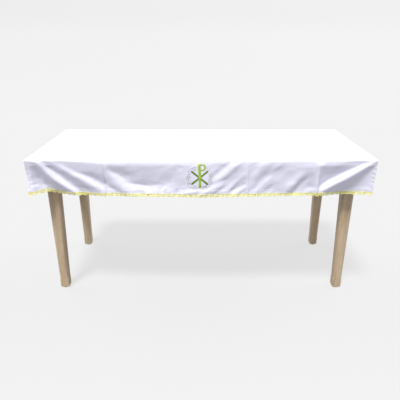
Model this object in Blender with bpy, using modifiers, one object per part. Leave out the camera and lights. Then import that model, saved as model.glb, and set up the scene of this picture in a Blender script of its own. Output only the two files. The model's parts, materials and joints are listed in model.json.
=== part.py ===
"""Communion table: a framed oak table dressed with a white altar cloth.

Units are metres, +Z is up, and the origin is on the floor at the middle of the table.
The front, where the emblem hangs, faces -Y. Left and right are -X and +X, as seen from the front.
The wooden table is mortised and tenoned. The cloth hangs over all four edges with boxed corners.
"""

import math

import bmesh
import bpy
from mathutils import Matrix, Vector

# Driving dimensions
TABLE_HEIGHT = 0.900
TOP_LENGTH = 2.000
TOP_DEPTH = 0.800
TOP_THICKNESS = 0.030
FRAME_INSET = 0.075
CLOTH_DROP = 0.215
LACE_HEIGHT = 0.018
FOOT_TRAVEL = 0.015
GAP = 0.0003

# Top
BOARD_COUNT = 5
BREADBOARD_WIDTH = 0.090
TONGUE_THICKNESS = 0.010
TONGUE_LENGTH = 0.012
END_TONGUE_LENGTH = 0.020
EDGE_RADIUS = 0.008
EDGE_SEGMENTS = 3
TOP_UNDERSIDE = TABLE_HEIGHT - TOP_THICKNESS

# Legs
LEG_WIDTH = 0.070
LEG_FOOT_WIDTH = 0.052
LEG_CHAMFER = 0.007
LEG_ARRIS = 0.001
LEG_BOTTOM = 0.0085
LEG_TAPER_START = 0.740
CHAMFER_STOP = 0.020

# Aprons and cross bearers
APRON_THICKNESS = 0.024
APRON_HEIGHT = 0.095
APRON_SETBACK = 0.006
APRON_TENON = Vector((0.040, 0.009, 0.062))
APRON_GROOVE_DEPTH = 0.009
APRON_GROOVE = (0.848, 0.8575)
BEARER_HEIGHT = 0.070
BEARER_POSITIONS = {"left": -0.500, "centre": 0.0, "right": 0.500}
BEARER_TENON = Vector((0.010, 0.010, 0.040))
FRAME_TOP = TOP_UNDERSIDE - GAP

# Corner braces and turn-buttons
BRACE_THICKNESS = 0.024
BRACE_HEIGHT = 0.060
BRACE_TOP = 0.844
BRACE_CLEARANCE = 0.002
BUTTON_WIDTH = 0.040
BUTTON_DEPTH = 0.030
BUTTON_HEIGHT = 0.024
BUTTON_TONGUE = Vector((0.008, 0.0, 0.008))
BUTTON_SPACING = 0.690

# Screws
SCREW_HEAD_RADIUS = 0.0042
SCREW_HEAD_HEIGHT = 0.003
SCREW_SHANK_RADIUS = 0.0022
SCREW_POINT = 0.004
SCREW_SLOT_DEPTH = 0.0012
SCREW_SLOT_WIDTH = 0.001
BRACE_SCREW_LENGTH = 0.028
BUTTON_SCREW_LENGTH = 0.036
PILOT_CLEARANCE = 0.0003

# Levelling feet
PAD_RADIUS = 0.020
PAD_HEIGHT = 0.008
STUD_RADIUS = 0.005
STUD_LENGTH = 0.050
INSERT_RADIUS = 0.007
INSERT_BORE = 0.0053
INSERT_LENGTH = 0.022
FLANGE_RADIUS = 0.0105
FLANGE_HEIGHT = 0.0015

# Cloth, lace and emblem
CLOTH_THICKNESS = 0.0015
CLOTH_CLEARANCE = 0.0005
CLOTH_RADIUS = 0.010
CLOTH_SEGMENTS = 3
CLOTH_TOP = TABLE_HEIGHT + CLOTH_CLEARANCE + CLOTH_THICKNESS
CLOTH_OUTSET = CLOTH_CLEARANCE + CLOTH_THICKNESS
CLOTH_HALF = Vector((TOP_LENGTH / 2 + CLOTH_OUTSET, TOP_DEPTH / 2 + CLOTH_OUTSET))
HEM_LEVEL = CLOTH_TOP - CLOTH_DROP
CLOTH_BOTTOM = HEM_LEVEL + LACE_HEIGHT
EMBLEM_LAYER = 0.0007
EMBLEM_X = -0.007
HALO_RADIUS = 0.078
HALO_THICKNESS = 0.0005
CHI_LEVEL = 0.803
CHI_STROKE = 0.010
CHI_HALF = Vector((0.047, 0.035))
RHO_LEVEL = 0.813
RHO_HEIGHT = 0.143
STEM_WIDTH = 0.015
SERIF = Vector((0.004, 0.009))
BOWL_STROKE = 0.010
BOWL_RADIUS = 0.019
BOWL_STRAIGHT = 0.010

CORNERS = {
    "front_left": (-1, -1),
    "front_right": (1, -1),
    "back_left": (-1, 1),
    "back_right": (1, 1),
}
ROUND_SIDES = 20
SMALL_SIDES = 12

FRAME_HALF = Vector((TOP_LENGTH / 2 - FRAME_INSET, TOP_DEPTH / 2 - FRAME_INSET))
APRON_INNER = FRAME_HALF - Vector((1, 1)) * (APRON_SETBACK + APRON_THICKNESS)
LEG_INNER = FRAME_HALF - Vector((1, 1)) * LEG_WIDTH


def clear_scene():
    for old in list(bpy.data.objects):
        bpy.data.objects.remove(old)


def new_collection(name):
    made = bpy.data.collections.new(name)
    bpy.context.scene.collection.children.link(made)
    return made


def principled(name, colour, roughness, metallic=0.0):
    made = bpy.data.materials.new(name)
    made.use_nodes = True
    shader = made.node_tree.nodes["Principled BSDF"]
    shader.inputs["Base Color"].default_value = (*colour, 1.0)
    shader.inputs["Roughness"].default_value = roughness
    shader.inputs["Metallic"].default_value = metallic
    return made


clear_scene()
PARTS = new_collection("communion_table")
CUTTERS = new_collection("cutters")
OAK = principled("oak", (0.62, 0.50, 0.36), 0.55)
STEEL = principled("zinc_steel", (0.62, 0.62, 0.60), 0.35, 1.0)
NYLON = principled("foot_nylon", (0.05, 0.05, 0.05), 0.6)
LINEN = principled("white_cloth", (0.90, 0.90, 0.93), 0.6)
GOLD = principled("gold_lace", (0.80, 0.68, 0.22), 0.45)
LEAF_GREEN = principled("light_green_thread", (0.36, 0.56, 0.06), 0.4)
DEEP_GREEN = principled("dark_green_thread", (0.16, 0.27, 0.03), 0.4)
WHITE_THREAD = principled("white_thread", (0.86, 0.86, 0.88), 0.4)


def adopt(obj, name, collection, material=None):
    """Names an object made by an operator and moves it to its own collection."""
    obj.name = name
    obj.data.name = name
    for holder in list(obj.users_collection):
        holder.objects.unlink(obj)
    collection.objects.link(obj)
    if material is not None:
        obj.data.materials.append(material)
    return obj


def box(name, x, y, z, material):
    """A cuboid between two values on each axis, given in either order."""
    low = Vector((min(x), min(y), min(z)))
    high = Vector((max(x), max(y), max(z)))
    bpy.ops.mesh.primitive_cube_add(size=1, location=(low + high) / 2)
    obj = adopt(bpy.context.object, name, PARTS, material)
    obj.data.transform(Matrix.Diagonal((*(high - low), 1)))
    return obj


def rod(name, start, end, radius, sides, material=None):
    """A cylinder from one point to another."""
    start, end = Vector(start), Vector(end)
    bpy.ops.mesh.primitive_cylinder_add(
        vertices=sides, radius=radius, depth=(end - start).length, location=(start + end) / 2
    )
    obj = adopt(bpy.context.object, name, PARTS, material)
    obj.rotation_mode = "QUATERNION"
    obj.rotation_quaternion = (end - start).to_track_quat("Z", "Y")
    return obj


def turned(name, profile, sides, material):
    """A solid of revolution about Z. The profile runs down its outer side from top to bottom."""
    mesh = bpy.data.meshes.new(name)
    edges = [(i, i + 1) for i in range(len(profile) - 1)]
    if profile[0][0] > 0:
        edges.append((len(profile) - 1, 0))
    mesh.from_pydata([(radius, 0, z) for radius, z in profile], edges, [])
    obj = bpy.data.objects.new(name, mesh)
    PARTS.objects.link(obj)
    mesh.materials.append(material)
    screw = obj.modifiers.new("turn", "SCREW")
    screw.steps = sides
    screw.render_steps = sides
    screw.use_merge_vertices = True
    screw.merge_threshold = 0.00001
    return obj


def combine(obj, other, operation):
    """Adds a Boolean modifier, and puts the other solid with the hidden helpers."""
    other.name = f"helper_{len(CUTTERS.objects):03d}"
    for holder in list(other.users_collection):
        holder.objects.unlink(other)
    CUTTERS.objects.link(other)
    other.hide_render = True
    other.display_type = "WIRE"
    modifier = obj.modifiers.new(f"{operation.lower()}_{other.name}", "BOOLEAN")
    modifier.operation = operation
    modifier.solver = "EXACT"
    modifier.object = other
    return obj


def cut(obj, cutter):
    return combine(obj, cutter, "DIFFERENCE")


def join(obj, other):
    return combine(obj, other, "UNION")


def round_edges(obj, radius, segments, chosen):
    """Rounds those edges of a box for whose two corners `chosen` is true, in the object's own frame."""
    shape = bmesh.new()
    shape.from_mesh(obj.data)
    edges = [edge for edge in shape.edges if all(chosen(corner.co) for corner in edge.verts)]
    bmesh.ops.bevel(
        shape, geom=edges, offset=radius, segments=segments, profile=0.5, affect="EDGES", clamp_overlap=True
    )
    shape.to_mesh(obj.data)
    shape.free()


def baked_mesh(obj):
    """The object's evaluated mesh, so that several objects can share it. Removes the object."""
    bpy.context.view_layer.update()
    graph = bpy.context.evaluated_depsgraph_get()
    mesh = bpy.data.meshes.new_from_object(obj.evaluated_get(graph))
    bpy.data.objects.remove(obj)
    return mesh


def copy_of(mesh, name, location, direction=None):
    """An object that shares a mesh, with the mesh's +Z turned to a direction."""
    obj = bpy.data.objects.new(name, mesh)
    PARTS.objects.link(obj)
    obj.location = location
    if direction is not None:
        obj.rotation_mode = "QUATERNION"
        obj.rotation_quaternion = Vector(direction).to_track_quat("Z", "Y")
    return obj


# ---------------------------------------------------------------- screws


def wood_screw(length):
    """A slotted countersunk wood screw. Its head is at the origin and its point is up +Z."""
    profile = [
        (0, length),
        (SCREW_SHANK_RADIUS, length - SCREW_POINT),
        (SCREW_SHANK_RADIUS, SCREW_HEAD_HEIGHT),
        (SCREW_HEAD_RADIUS, SCREW_SLOT_WIDTH / 4),
        (SCREW_HEAD_RADIUS, 0),
        (0, 0),
    ]
    screw = turned("screw", profile, SMALL_SIDES, STEEL)
    half_slot = SCREW_SLOT_WIDTH / 2
    slot = box("slot", (-0.01, 0.01), (-half_slot, half_slot), (-0.001, SCREW_SLOT_DEPTH), None)
    cut(screw, slot)
    return baked_mesh(screw)


def screw_hole(obj, head, direction, length, recess=0.0):
    """A hole for a wood screw, with a countersink and, over it, a counterbore of the given depth."""
    direction = Vector(direction)
    head = Vector(head)
    shank = rod(
        "shank_hole",
        head - direction * recess,
        head + direction * (length + 0.001),
        SCREW_SHANK_RADIUS + PILOT_CLEARANCE,
        SMALL_SIDES,
    )
    cut(obj, shank)
    if recess > 0:
        bore = rod(
            "head_hole",
            head - direction * recess,
            head + direction * (SCREW_HEAD_HEIGHT + PILOT_CLEARANCE),
            SCREW_HEAD_RADIUS + PILOT_CLEARANCE,
            SMALL_SIDES,
        )
        cut(obj, bore)


# ---------------------------------------------------------------- top


def make_top():
    """Five tongued and grooved boards, held flat by a grooved breadboard at each end."""
    inner = TOP_LENGTH / 2 - BREADBOARD_WIDTH
    board_width = TOP_DEPTH / BOARD_COUNT
    middle = TABLE_HEIGHT - TOP_THICKNESS / 2
    tongue = (middle - TONGUE_THICKNESS / 2, middle + TONGUE_THICKNESS / 2)
    groove = (tongue[0] - GAP, tongue[1] + GAP)
    boards = []
    for index in range(BOARD_COUNT):
        front = -TOP_DEPTH / 2 + index * board_width + (GAP if index else 0)
        back = -TOP_DEPTH / 2 + (index + 1) * board_width
        length = (-inner + GAP, inner - GAP)
        board = box(f"top_board_{index + 1}", length, (front, back), (TOP_UNDERSIDE, TABLE_HEIGHT), OAK)
        outer = {0: -1, BOARD_COUNT - 1: 1}.get(index)
        if outer is not None:
            round_edges(board, EDGE_RADIUS, EDGE_SEGMENTS, lambda co: co.y * outer > 0 and co.z > 0)
        ends = inner + END_TONGUE_LENGTH
        shoulder = EDGE_RADIUS if outer is not None else 0
        tongue_y = (front + (shoulder if outer == -1 else 0.002), back - (shoulder if outer == 1 else 0.002))
        join(board, box("end_tongues", (-ends, ends), tongue_y, tongue, OAK))
        if index < BOARD_COUNT - 1:
            join(board, box("side_tongue", length, (back - 0.01, back + TONGUE_LENGTH), tongue, OAK))
        if index > 0:
            depth = (front - 0.01, front + TONGUE_LENGTH + GAP)
            cut(board, box("side_groove", (-2, 2), depth, groove, None))
        boards.append(board)
    for name, side in (("left", -1), ("right", 1)):
        breadboard = box(
            f"breadboard_{name}",
            (side * inner, side * TOP_LENGTH / 2),
            (-TOP_DEPTH / 2, TOP_DEPTH / 2),
            (TOP_UNDERSIDE, TABLE_HEIGHT),
            OAK,
        )
        round_edges(
            breadboard,
            EDGE_RADIUS,
            EDGE_SEGMENTS,
            lambda co: co.x * side > 0 or (co.z > 0 and abs(co.y) > TOP_DEPTH / 2 - 0.001),
        )
        depth = (side * (inner - 0.01), side * (inner + END_TONGUE_LENGTH + GAP))
        half_groove = TOP_DEPTH / 2 - EDGE_RADIUS + GAP
        cut(breadboard, box("breadboard_groove", depth, (-half_groove, half_groove), groove, None))
    return boards


# ---------------------------------------------------------------- frame


def leg_section(width, chamfer):
    """Eight corners of a square leg. Its outer corner is at the origin, and it reaches towards +X and +Y."""
    near, far = chamfer, width - chamfer
    return [
        (near, 0),
        (far, 0),
        (width, near),
        (width, far),
        (far, width),
        (near, width),
        (0, far),
        (0, near),
    ]


def leg_mesh(name):
    """A loft: the inner faces taper towards the foot, and stopped chamfers run between square ends."""
    low_stop = LEG_BOTTOM + 0.050
    levels = [
        (LEG_BOTTOM, LEG_FOOT_WIDTH, LEG_ARRIS),
        (low_stop, None, LEG_ARRIS),
        (low_stop + CHAMFER_STOP, None, LEG_CHAMFER),
        (LEG_TAPER_START - CHAMFER_STOP, None, LEG_CHAMFER),
        (LEG_TAPER_START, LEG_WIDTH, LEG_ARRIS),
        (FRAME_TOP, LEG_WIDTH, LEG_ARRIS),
    ]
    shape = bmesh.new()
    rings = []
    for level, width, chamfer in levels:
        if width is None:
            share = (level - LEG_BOTTOM) / (LEG_TAPER_START - LEG_BOTTOM)
            width = LEG_FOOT_WIDTH + share * (LEG_WIDTH - LEG_FOOT_WIDTH)
        rings.append([shape.verts.new((x, y, level)) for x, y in leg_section(width, chamfer)])
    for below, above in zip(rings, rings[1:]):
        for index in range(8):
            following = (index + 1) % 8
            shape.faces.new((below[index], below[following], above[following], above[index]))
    shape.faces.new(reversed(rings[0]))
    shape.faces.new(rings[-1])
    bmesh.ops.recalc_face_normals(shape, faces=shape.faces)
    mesh = bpy.data.meshes.new(name)
    shape.to_mesh(mesh)
    shape.free()
    return mesh


def make_leg(corner, signs):
    """One leg, with its two mortises and the stepped hole for its threaded insert and stud."""
    side, face = signs
    mesh = leg_mesh(f"leg_{corner}")
    mesh.materials.append(OAK)
    mesh.transform(Matrix.Diagonal((-side, -face, 1, 1)))
    if side * face < 0:
        mesh.flip_normals()
    leg = bpy.data.objects.new(f"leg_{corner}", mesh)
    PARTS.objects.link(leg)
    leg.location = (side * FRAME_HALF.x, face * FRAME_HALF.y, 0)
    half = APRON_TENON.y / 2 + GAP
    deep = APRON_TENON.x + GAP
    for along_x, outward, start, line in (
        (True, side, side * LEG_INNER.x, face * apron_centre().y),
        (False, face, face * LEG_INNER.y, side * apron_centre().x),
    ):
        depth = (start - outward * 0.01, start + outward * deep)
        place = swapped(along_x, depth, (line - half, line + half))
        cut(leg, box("mortise", *place, tenon_levels(GAP), None))
    foot = foot_centre(side, face)
    for radius, height in (
        (FLANGE_RADIUS + GAP, FLANGE_HEIGHT + 2 * GAP),
        (INSERT_RADIUS + GAP, INSERT_LENGTH + 2 * GAP),
        (STUD_RADIUS + 2 * GAP, STUD_LENGTH + GAP),
    ):
        top = foot + Vector((0, 0, LEG_BOTTOM + height))
        cut(leg, rod("foot_hole", foot, top, radius, ROUND_SIDES))
    return leg


def apron_centre():
    """How far the middle planes of the end aprons (x) and long aprons (y) are from the middle."""
    return FRAME_HALF - Vector((1, 1)) * (APRON_SETBACK + APRON_THICKNESS / 2)


def tenon_levels(allowance):
    """Lower and upper level of an apron's tenon, with an allowance for its mortise."""
    middle = FRAME_TOP - APRON_HEIGHT / 2
    half = APRON_TENON.z / 2
    return (middle - half - allowance, middle + half + allowance)


def foot_centre(side, face):
    half_foot = LEG_FOOT_WIDTH / 2
    return Vector((side * (FRAME_HALF.x - half_foot), face * (FRAME_HALF.y - half_foot), 0))


def swapped(along_x, along, across):
    """(x range, y range) of a piece that runs along X, or along Y."""
    return (along, across) if along_x else (across, along)


def make_apron(name, along_x, sign):
    """A rail with a tenon at each end, and a groove for the turn-buttons along its inner face."""
    centre = apron_centre()
    line = sign * (centre.y if along_x else centre.x)
    half_length = (LEG_INNER.x if along_x else LEG_INNER.y) - GAP
    inner = sign * (APRON_INNER.y if along_x else APRON_INNER.x)
    outer = inner + sign * APRON_THICKNESS
    levels = (FRAME_TOP - APRON_HEIGHT, FRAME_TOP)
    body = swapped(along_x, (-half_length, half_length), (inner, outer))
    apron = box(f"apron_{name}", *body, levels, OAK)
    reach = half_length + APRON_TENON.x
    tenon = swapped(along_x, (-reach, reach), (line - APRON_TENON.y / 2, line + APRON_TENON.y / 2))
    join(apron, box("tenons", *tenon, tenon_levels(0), OAK))
    depth = (inner - sign * 0.01, inner + sign * APRON_GROOVE_DEPTH)
    cut(apron, box("groove", *swapped(along_x, (-2, 2), depth), APRON_GROOVE, None))
    return apron


def bearer_tenon_levels(allowance):
    low = FRAME_TOP - BEARER_HEIGHT + 0.004
    return (low - allowance, low + BEARER_TENON.z + allowance)


def make_bearer(name, x):
    """A cross rail under the boards, stub-tenoned into both long aprons."""
    half = APRON_THICKNESS / 2
    shoulder = APRON_INNER.y - GAP
    levels = (FRAME_TOP - BEARER_HEIGHT, FRAME_TOP)
    bearer = box(f"bearer_{name}", (x - half, x + half), (-shoulder, shoulder), levels, OAK)
    reach = shoulder + BEARER_TENON.x
    half_tenon = BEARER_TENON.y / 2
    across = (x - half_tenon, x + half_tenon)
    join(bearer, box("stubs", across, (-reach, reach), bearer_tenon_levels(0), OAK))
    return bearer


def mortise_for_bearer(apron, sign, x):
    half = BEARER_TENON.y / 2 + GAP
    inner = sign * APRON_INNER.y
    depth = (inner - sign * 0.01, inner + sign * (BEARER_TENON.x + GAP))
    cut(apron, box("stub_mortise", (x - half, x + half), depth, bearer_tenon_levels(GAP), None))


def make_frame():
    aprons = {
        "front": make_apron("front", True, -1),
        "back": make_apron("back", True, 1),
        "left": make_apron("left", False, -1),
        "right": make_apron("right", False, 1),
    }
    for name, x in BEARER_POSITIONS.items():
        make_bearer(name, x)
        mortise_for_bearer(aprons["front"], -1, x)
        mortise_for_bearer(aprons["back"], 1, x)
    for corner, signs in CORNERS.items():
        make_leg(corner, signs)
    return aprons


# ---------------------------------------------------------------- corner braces


def make_brace(corner, side, face):
    """A board set across the corner behind the leg, its ends mitred to lie on both aprons."""
    outer_sum = LEG_INNER.x + LEG_INNER.y - BRACE_CLEARANCE * math.sqrt(2)
    inner_sum = outer_sum - BRACE_THICKNESS * math.sqrt(2)
    x_face, y_face = APRON_INNER.x - GAP, APRON_INNER.y - GAP
    outline = [
        (outer_sum - y_face, y_face),
        (inner_sum - y_face, y_face),
        (x_face, inner_sum - x_face),
        (x_face, outer_sum - x_face),
    ]
    curve = bpy.data.curves.new(f"brace_{corner}", "CURVE")
    curve.dimensions = "2D"
    curve.fill_mode = "BOTH"
    curve.extrude = BRACE_HEIGHT / 2
    spline = curve.splines.new("POLY")
    spline.points.add(len(outline) - 1)
    for point, (x, y) in zip(spline.points, outline):
        point.co = (side * x, face * y, 0, 1)
    spline.use_cyclic_u = True
    guide = bpy.data.objects.new("brace_outline", curve)
    CUTTERS.objects.link(guide)
    mesh = baked_mesh(guide)
    welded = bmesh.new()
    welded.from_mesh(mesh)
    bmesh.ops.remove_doubles(welded, verts=welded.verts, dist=0.00001)
    bmesh.ops.recalc_face_normals(welded, faces=welded.faces)
    welded.to_mesh(mesh)
    welded.free()
    mesh.materials.clear()
    mesh.materials.append(OAK)
    brace = copy_of(mesh, f"corner_brace_{corner}", (0, 0, BRACE_TOP - BRACE_HEIGHT / 2))
    middle_sum = (outer_sum + inner_sum) / 2
    return brace, middle_sum


def make_braces(aprons, screw_mesh):
    """Four braces. One screw goes square into each apron, from a counterbore in the brace's sloping face."""
    count = 0
    seat = 0.012
    for corner, (side, face) in CORNERS.items():
        brace, middle_sum = make_brace(corner, side, face)
        level = BRACE_TOP - BRACE_HEIGHT / 2
        long_apron = aprons["front" if face < 0 else "back"]
        end_apron = aprons["left" if side < 0 else "right"]
        into_long = (side * (middle_sum - APRON_INNER.y), face * (APRON_INNER.y - seat), level)
        into_end = (side * (APRON_INNER.x - seat), face * (middle_sum - APRON_INNER.x), level)
        screws = ((long_apron, into_long, (0, face, 0)), (end_apron, into_end, (side, 0, 0)))
        for apron, head, direction in screws:
            count += 1
            screw_hole(brace, head, direction, BRACE_SCREW_LENGTH, recess=0.030)
            screw_hole(apron, head, direction, BRACE_SCREW_LENGTH)
            copy_of(screw_mesh, f"brace_screw_{count}", head, direction)


# ---------------------------------------------------------------- turn-buttons


def make_button(index, along_x, sign, position, screw_mesh, board):
    """A wooden button: its tongue is in the apron's groove, and its screw goes up into the top."""
    inner = sign * ((APRON_INNER.y if along_x else APRON_INNER.x) - GAP)
    across = (inner, inner - sign * BUTTON_DEPTH)
    along = (position - BUTTON_WIDTH / 2, position + BUTTON_WIDTH / 2)
    body = swapped(along_x, along, across)
    button = box(f"top_button_{index}", *body, (FRAME_TOP - BUTTON_HEIGHT, FRAME_TOP), OAK)
    middle = sum(APRON_GROOVE) / 2
    tongue_levels = (middle - BUTTON_TONGUE.z / 2, middle + BUTTON_TONGUE.z / 2)
    tongue = swapped(along_x, along, (inner - sign * 0.005, inner + sign * BUTTON_TONGUE.x))
    join(button, box("button_tongue", *tongue, tongue_levels, OAK))
    across_middle = inner - sign * BUTTON_DEPTH / 2
    x, y = (position, across_middle) if along_x else (across_middle, position)
    head = (x, y, FRAME_TOP - BUTTON_HEIGHT)
    screw_hole(button, head, (0, 0, 1), BUTTON_SCREW_LENGTH, recess=0.002)
    screw_hole(board, head, (0, 0, 1), BUTTON_SCREW_LENGTH)
    copy_of(screw_mesh, f"button_screw_{index}", head)


def make_buttons(boards, screw_mesh):
    places = [(True, face, place) for face in (-1, 1) for place in (-BUTTON_SPACING, 0.20, BUTTON_SPACING)]
    places += [(False, side, 0.0) for side in (-1, 1)]
    for index, (along_x, sign, position) in enumerate(places, 1):
        board = boards[BOARD_COUNT // 2] if not along_x else boards[0 if sign < 0 else -1]
        make_button(index, along_x, sign, position, screw_mesh, board)


# ---------------------------------------------------------------- levelling feet


def make_feet():
    """A nylon pad moulded on a steel stud, screwed into a flanged insert in the leg's end."""
    foot_profile = [
        (0, LEG_BOTTOM + STUD_LENGTH - 0.001),
        (STUD_RADIUS - 0.001, LEG_BOTTOM + STUD_LENGTH - 0.001),
        (STUD_RADIUS, LEG_BOTTOM + STUD_LENGTH - 0.002),
        (STUD_RADIUS, PAD_HEIGHT),
        (PAD_RADIUS - 0.003, PAD_HEIGHT),
        (PAD_RADIUS, PAD_HEIGHT - 0.003),
        (PAD_RADIUS, 0.001),
        (PAD_RADIUS - 0.001, 0),
        (0, 0),
    ]
    foot_mesh = baked_mesh(turned("foot", foot_profile, ROUND_SIDES, NYLON))
    top = LEG_BOTTOM + INSERT_LENGTH
    insert_profile = [
        (INSERT_BORE, top),
        (INSERT_RADIUS, top),
        (INSERT_RADIUS, LEG_BOTTOM + FLANGE_HEIGHT),
        (FLANGE_RADIUS, LEG_BOTTOM + FLANGE_HEIGHT),
        (FLANGE_RADIUS, LEG_BOTTOM),
        (INSERT_BORE, LEG_BOTTOM),
    ]
    insert_mesh = baked_mesh(turned("insert", insert_profile, ROUND_SIDES, STEEL))
    for corner, (side, face) in CORNERS.items():
        centre = foot_centre(side, face)
        copy_of(foot_mesh, f"foot_{corner}", centre)
        copy_of(insert_mesh, f"foot_insert_{corner}", centre)


# ---------------------------------------------------------------- cloth


def open_tray(name, top, bottom, has_top, material):
    """A thin wall round the table's edge, with or without the sheet over it, solidified inwards."""
    shape = bmesh.new()
    bmesh.ops.create_cube(shape, size=1)
    size = Vector((2 * CLOTH_HALF.x, 2 * CLOTH_HALF.y, top - bottom))
    bmesh.ops.scale(shape, vec=size, verts=shape.verts)
    bmesh.ops.translate(shape, vec=(0, 0, (top + bottom) / 2), verts=shape.verts)
    shape.normal_update()
    opened = [face for face in shape.faces if face.normal.z < -0.5 or (face.normal.z > 0.5 and not has_top)]
    bmesh.ops.delete(shape, geom=opened, context="FACES_ONLY")
    folded = [edge for edge in shape.edges if len(edge.link_faces) == 2]
    rounding = {"offset": CLOTH_RADIUS, "segments": CLOTH_SEGMENTS, "profile": 0.5, "affect": "EDGES"}
    bmesh.ops.bevel(shape, geom=folded, **rounding)
    mesh = bpy.data.meshes.new(name)
    shape.to_mesh(mesh)
    shape.free()
    mesh.materials.append(material)
    obj = bpy.data.objects.new(name, mesh)
    PARTS.objects.link(obj)
    wall = obj.modifiers.new("wall", "SOLIDIFY")
    wall.thickness = CLOTH_THICKNESS
    wall.offset = -1
    wall.use_even_offset = True
    return obj


def flat_outline(name, loops, level, thickness, back, material):
    """A flat plate facing the front. Its loops are drawn in x and z, round the emblem's middle."""
    curve = bpy.data.curves.new(name, "CURVE")
    curve.dimensions = "2D"
    curve.fill_mode = "BOTH"
    curve.extrude = thickness / 2
    for loop in loops:
        spline = curve.splines.new("POLY")
        spline.points.add(len(loop) - 1)
        for point, (x, z) in zip(spline.points, loop):
            point.co = (x, z, 0, 1)
        spline.use_cyclic_u = True
    curve.materials.append(material)
    obj = bpy.data.objects.new(name, curve)
    PARTS.objects.link(obj)
    obj.rotation_euler = (math.pi / 2, 0, 0)
    obj.location = (EMBLEM_X, back - thickness / 2, level)
    return obj


def arc(centre, radius, start, end, count):
    """Points on an arc, from one angle to another, in degrees."""
    angles = [math.radians(start + (end - start) * i / (count - 1)) for i in range(count)]
    return [(centre[0] + radius * math.cos(a), centre[1] + radius * math.sin(a)) for a in angles]


def rho_loops():
    """A letter rho: a stem with a small serif and a round bowl. Its mid-height is at the origin."""
    half_stem = STEM_WIDTH / 2
    top, foot = RHO_HEIGHT / 2, -RHO_HEIGHT / 2
    bowl = (half_stem + BOWL_STRAIGHT, top - BOWL_RADIUS)
    eye_radius = BOWL_RADIUS - BOWL_STROKE
    outline = [(-half_stem, foot), (half_stem, foot), (half_stem, top - 2 * BOWL_RADIUS)]
    outline += arc(bowl, BOWL_RADIUS, -90, 90, 13)
    outline += [(-half_stem - SERIF.x, top), (-half_stem, top - SERIF.y)]
    eye = [(half_stem, bowl[1] - eye_radius)] + arc(bowl, eye_radius, -90, 90, 9)
    eye += [(half_stem, bowl[1] + eye_radius)]
    return [outline, eye]


def chi_loops():
    """A letter chi: two crossed strokes with square ends. Their crossing is at the origin."""
    run = CHI_HALF.normalized()
    side = Vector((-run.y, run.x)) * CHI_STROKE / 2
    above = CHI_STROKE / 2 / run.x
    beside = CHI_STROKE / 2 / run.y
    right, left = CHI_HALF - side, CHI_HALF + side
    return [
        [
            (right.x, right.y),
            (left.x, left.y),
            (0, above),
            (-left.x, left.y),
            (-right.x, right.y),
            (-beside, 0),
            (-right.x, -right.y),
            (-left.x, -left.y),
            (0, -above),
            (left.x, -left.y),
            (right.x, -right.y),
            (beside, 0),
        ]
    ]


def make_cloth():
    """The cloth, the lace sewn under its hem, and the emblem's three layers of thread."""
    open_tray("altar_cloth", CLOTH_TOP, CLOTH_BOTTOM, True, LINEN)
    open_tray("lace_trim", CLOTH_BOTTOM - GAP, HEM_LEVEL, False, GOLD)
    halo_back = -CLOTH_HALF.y - GAP
    chi_back = halo_back - HALO_THICKNESS - GAP
    rho_back = chi_back - EMBLEM_LAYER - GAP
    halo = arc((0, 0), HALO_RADIUS, 0, 360 - 360 / 32, 32)
    flat_outline("emblem_halo", [halo], CHI_LEVEL, HALO_THICKNESS, halo_back, WHITE_THREAD)
    flat_outline("emblem_chi", chi_loops(), CHI_LEVEL, EMBLEM_LAYER, chi_back, DEEP_GREEN)
    flat_outline("emblem_rho", rho_loops(), RHO_LEVEL, EMBLEM_LAYER, rho_back, LEAF_GREEN)


def main():
    boards = make_top()
    aprons = make_frame()
    make_braces(aprons, wood_screw(BRACE_SCREW_LENGTH))
    make_buttons(boards, wood_screw(BUTTON_SCREW_LENGTH))
    make_feet()
    make_cloth()
    for obj in PARTS.objects:
        if obj.type == "MESH":
            obj.data.shade_smooth()
            obj.data.set_sharp_from_angle(angle=math.radians(35))


main()
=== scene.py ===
"""Looks for the communion table: the draped cloth with its lace and embroidery, and limed oak under it.

Units are metres. The front faces -Y. On each drop, s runs left to right as seen from outside, t runs down
from the top's edge, and a height is how far the cloth stands out of the drop's plane.
"""

import json
import math

import bmesh
import bpy
import numpy as np
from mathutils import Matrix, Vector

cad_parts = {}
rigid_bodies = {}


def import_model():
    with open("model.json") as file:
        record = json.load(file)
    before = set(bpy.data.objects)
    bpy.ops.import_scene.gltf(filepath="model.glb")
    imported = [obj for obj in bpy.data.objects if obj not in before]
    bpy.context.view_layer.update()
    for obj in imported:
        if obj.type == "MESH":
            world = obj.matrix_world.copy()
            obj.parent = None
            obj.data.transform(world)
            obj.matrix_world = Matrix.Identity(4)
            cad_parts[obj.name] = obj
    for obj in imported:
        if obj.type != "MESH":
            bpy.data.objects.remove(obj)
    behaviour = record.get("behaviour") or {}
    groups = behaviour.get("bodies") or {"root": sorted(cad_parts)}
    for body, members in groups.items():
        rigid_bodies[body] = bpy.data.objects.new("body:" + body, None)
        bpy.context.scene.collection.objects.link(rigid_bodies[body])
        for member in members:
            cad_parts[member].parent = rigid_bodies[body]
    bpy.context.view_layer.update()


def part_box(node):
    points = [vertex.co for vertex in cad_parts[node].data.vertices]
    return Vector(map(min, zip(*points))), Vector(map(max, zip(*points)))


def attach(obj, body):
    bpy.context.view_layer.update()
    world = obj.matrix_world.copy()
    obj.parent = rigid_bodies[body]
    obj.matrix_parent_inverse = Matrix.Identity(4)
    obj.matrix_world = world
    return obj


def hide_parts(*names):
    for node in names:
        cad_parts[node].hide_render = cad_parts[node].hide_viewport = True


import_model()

# ---- sizes, from the frame

cloth_low, cloth_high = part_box("altar_cloth")
lace_low, lace_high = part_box("lace_trim")
HALF_LENGTH = cloth_high.x
HALF_DEPTH = cloth_high.y
TOP_LEVEL = cloth_high.z
CLOTH_DROP = TOP_LEVEL - cloth_low.z
FULL_DROP = TOP_LEVEL - lace_low.z
BOARD_EDGE = TOP_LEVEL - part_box("top_board_1")[0].z

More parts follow.
